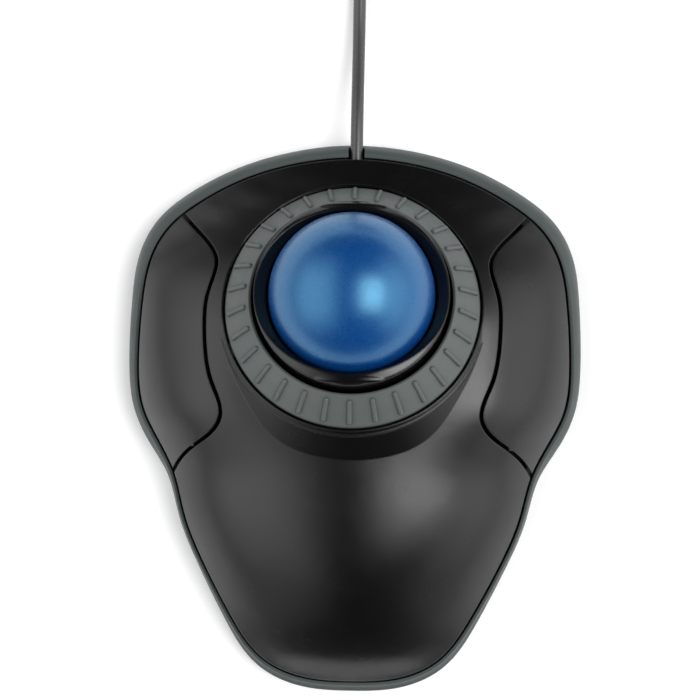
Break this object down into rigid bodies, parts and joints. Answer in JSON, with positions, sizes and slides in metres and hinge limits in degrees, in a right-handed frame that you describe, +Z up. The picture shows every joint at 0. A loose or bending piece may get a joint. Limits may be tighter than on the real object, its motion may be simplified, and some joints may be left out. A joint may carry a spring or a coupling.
{
  "type": "trackball mouse",
  "caption": "Wide, low trackball mouse: a ball in a tilted scroll ring, a button on each side, a palm rest and a cord.",
  "frame": {"origin": "under the middle of the housing, on the desk the feet stand on", "axes": "+Z up, +Y from the palm end to the cord end, +X to the right of a user whose palm is at -Y"},
  "size_m": [0.1521, 0.2757, 0.054],
  "materials": {
    "base_plastic": "fine satin texture, slightly green grey",
    "cover_plastic": "fine satin texture",
    "button_plastic": "fine satin texture",
    "grip_rubber": "soft matte",
    "ring_plastic": "matte",
    "bezel_gloss": "high gloss",
    "ball_paint": "metallic gloss with fine flake",
    "ball_resin": "solid resin",
    "cup_plastic": "matte",
    "bearing_steel": "polished",
    "foot_rubber": "matte",
    "label_film": "matte film, blank",
    "board_laminate": "solder mask",
    "chip_epoxy": "matte",
    "lens_clear": "clear moulding",
    "led_red": "tinted clear",
    "contact_metal": "plated",
    "terminal_metal": "tinned",
    "capacitor_can": "sleeved can",
    "connector_nylon": "nylon",
    "switch_plastic": "matte",
    "plunger_plastic": "matte",
    "screw_steel": "zinc plated",
    "cord_jacket": "satin vinyl",
    "wire_jacket": "satin vinyl",
    "plug_grip": "satin overmould",
    "plug_shell": "nickel plated",
    "plug_tongue": "matte",
    "tie_fabric": "hook and loop"
  },
  "bodies": {
    "housing": {"ball_bezel": "bezel_gloss", "ball_cup": "cup_plastic", "base_shell": "base_plastic", "board_capacitors": "capacitor_can", "board_screws": "screw_steel", "cable_coil": "cord_jacket", "cable_header": "connector_nylon", "cable_socket": "connector_nylon", "cable_tie": "tie_fabric", "cable_wires": "wire_jacket", "case_screws": "screw_steel", "controller_chip": "chip_epoxy", "cup_screws": "screw_steel", "encoder_board": "board_laminate", "encoder_pins": "terminal_metal", "label_plate": "label_film", "led_clip": "ring_plastic", "left_switch_case": "switch_plastic", "left_switch_contacts": "terminal_metal", "left_switch_cover": "switch_plastic", "main_board": "board_laminate", "plug_lead": "cord_jacket", "right_switch_case": "switch_plastic", "right_switch_contacts": "terminal_metal", "right_switch_cover": "switch_plastic", "ring_detector": "chip_epoxy", "ring_emitter": "chip_epoxy", "rubber_foot_1": "foot_rubber", "rubber_foot_2": "foot_rubber", "rubber_foot_3": "foot_rubber", "rubber_foot_4": "foot_rubber", "sensor_chip": "chip_epoxy", "sensor_led": "led_red", "sensor_lens": "lens_clear", "strain_relief": "cord_jacket", "support_bearing_1": "bearing_steel", "support_bearing_2": "bearing_steel", "support_bearing_3": "bearing_steel", "top_cover": "cover_plastic", "usb_cable": "cord_jacket", "usb_plug_contacts": "contact_metal", "usb_plug_grip": "plug_grip", "usb_plug_shell": "plug_shell", "usb_plug_tongue": "plug_tongue"},
    "scroll_ring": {"scroll_ring_grip": "grip_rubber", "scroll_ring_carrier": "ring_plastic", "encoder_wheel": "ring_plastic"},
    "ball_inner": {"ball_core": "ball_resin"},
    "ball_outer": {"ball_shell": "ball_paint"},
    "right_button_lever": {"right_button": "button_plastic"},
    "left_button_lever": {"left_button": "button_plastic"},
    "right_plunger": {"right_switch_plunger": "plunger_plastic"},
    "left_plunger": {"left_switch_plunger": "plunger_plastic"}
  },
  "joints": [
    {"name": "scroll_ring_spin", "type": "hinge", "parent": "housing", "child": "scroll_ring", "pos_m": [0, 0.0297, 0.034], "axis": [0, 0.309, 0.9511], "continuous": true},
    {"name": "ball_roll_forward", "type": "hinge", "parent": "housing", "child": "ball_inner", "pos_m": [0, 0.0297, 0.034], "axis": [1, 0, 0], "continuous": true},
    {"name": "ball_roll_sideways", "type": "hinge", "parent": "ball_inner", "child": "ball_outer", "pos_m": [0, 0.0297, 0.034], "axis": [0, 1, 0], "continuous": true},
    {"name": "right_button_press", "type": "hinge", "parent": "housing", "child": "right_button_lever", "pos_m": [0.0407, -0.005, 0.009], "axis": [1, 0, 0], "range_deg": [-1.2, 0], "stiffness_Nm_per_rad": 0.8, "springref_deg": 0.69},
    {"name": "right_plunger_travel", "type": "slide", "parent": "housing", "child": "right_plunger", "axis": [0, 0, 1], "range_m": [-0.0006, 0]},
    {"name": "left_button_press", "type": "hinge", "parent": "housing", "child": "left_button_lever", "pos_m": [-0.0407, -0.005, 0.009], "axis": [1, 0, 0], "range_deg": [-1.2, 0], "stiffness_Nm_per_rad": 0.8, "springref_deg": 0.69},
    {"name": "left_plunger_travel", "type": "slide", "parent": "housing", "child": "left_plunger", "axis": [0, 0, 1], "range_m": [-0.0006, 0]}
  ],
  "couplings": [
    {"joint": "right_plunger_travel", "follows": "right_button_press", "m_per_rad": 0.027},
    {"joint": "left_plunger_travel", "follows": "left_button_press", "m_per_rad": 0.027}
  ]
}
